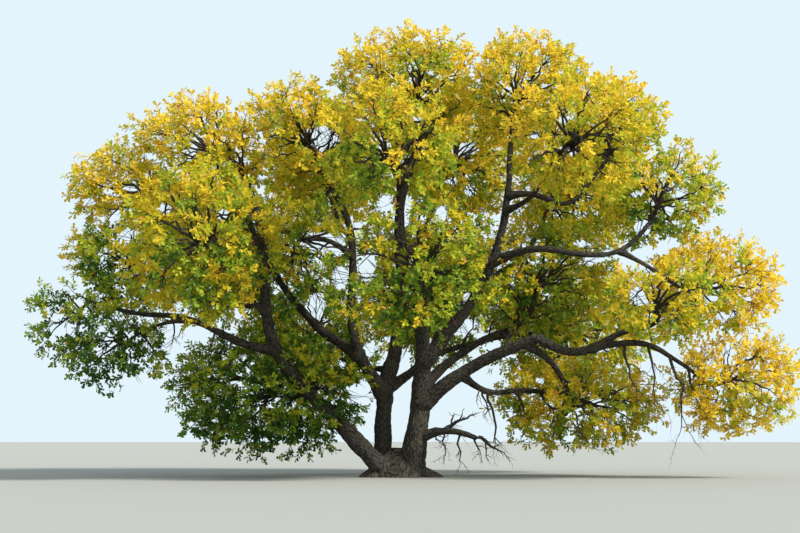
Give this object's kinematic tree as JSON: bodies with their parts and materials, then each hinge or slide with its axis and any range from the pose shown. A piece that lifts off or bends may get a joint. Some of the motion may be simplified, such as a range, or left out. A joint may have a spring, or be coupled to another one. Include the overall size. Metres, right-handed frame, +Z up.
{
  "type": "spreading oak tree",
  "caption": "Wide open-grown oak in autumn leaf, with stems rising from one flared foot, spreading boughs and a full rounded crown, rooted in level ground.",
  "frame": {"origin": "on the level ground, in the middle of the foot where the three stems join", "axes": "+Z up along the stems, +X to the right of the picture along the crown's widest spread, -Y towards the viewer"},
  "size_m": [21.2388, 14.9325, 12.759],
  "materials": {
    "bark": "rough furrowed bark",
    "golden_leaves": "matt autumn leaf",
    "olive_leaves": "matt turning leaf",
    "green_leaves": "matt green leaf"
  },
  "bodies": {
    "root": {"trunk": "bark", "left_stem": "bark", "middle_stem": "bark", "right_stem": "bark", "left_low_bough": "bark", "left_hanging_bough": "bark", "left_middle_bough": "bark", "left_high_bough": "bark", "left_fore_bough": "bark", "left_drooping_bough": "bark", "middle_left_bough": "bark", "arching_bough": "bark", "upper_fore_bough": "bark", "middle_back_bough": "bark", "back_low_right_bough": "bark", "back_low_left_bough": "bark", "back_left_bough": "bark", "back_upper_bough": "bark", "back_top_bough": "bark", "right_high_bough": "bark", "right_crown_bough": "bark", "right_shoulder_bough": "bark", "right_outer_bough": "bark", "right_inner_bough": "bark", "right_long_bough": "bark", "right_end_bough": "bark", "right_fore_bough": "bark", "right_hanging_bough": "bark", "right_under_bough": "bark", "right_front_bough": "bark", "back_right_bough": "bark", "low_bough": "bark", "left_tip_foliage": "olive_leaves", "left_hanging_foliage": "green_leaves", "left_outer_foliage": "golden_leaves", "left_shoulder_foliage": "golden_leaves", "left_front_foliage": "golden_leaves", "left_top_foliage": "golden_leaves", "low_left_foliage": "green_leaves", "upper_left_foliage": "golden_leaves", "inner_left_foliage": "green_leaves", "top_foliage": "golden_leaves", "upper_front_foliage": "golden_leaves", "centre_front_foliage": "olive_leaves", "back_centre_foliage": "olive_leaves", "back_left_foliage": "olive_leaves", "back_upper_foliage": "golden_leaves", "back_top_foliage": "golden_leaves", "back_low_left_foliage": "green_leaves", "back_low_right_foliage": "green_leaves", "back_right_foliage": "golden_leaves", "top_right_foliage": "golden_leaves", "right_front_foliage": "golden_leaves", "right_crown_foliage": "golden_leaves", "right_shoulder_foliage": "golden_leaves", "right_outer_foliage": "golden_leaves", "right_middle_foliage": "olive_leaves", "right_fore_foliage": "golden_leaves", "right_tip_foliage": "golden_leaves", "right_low_foliage": "olive_leaves"}
  },
  "joints": []
}
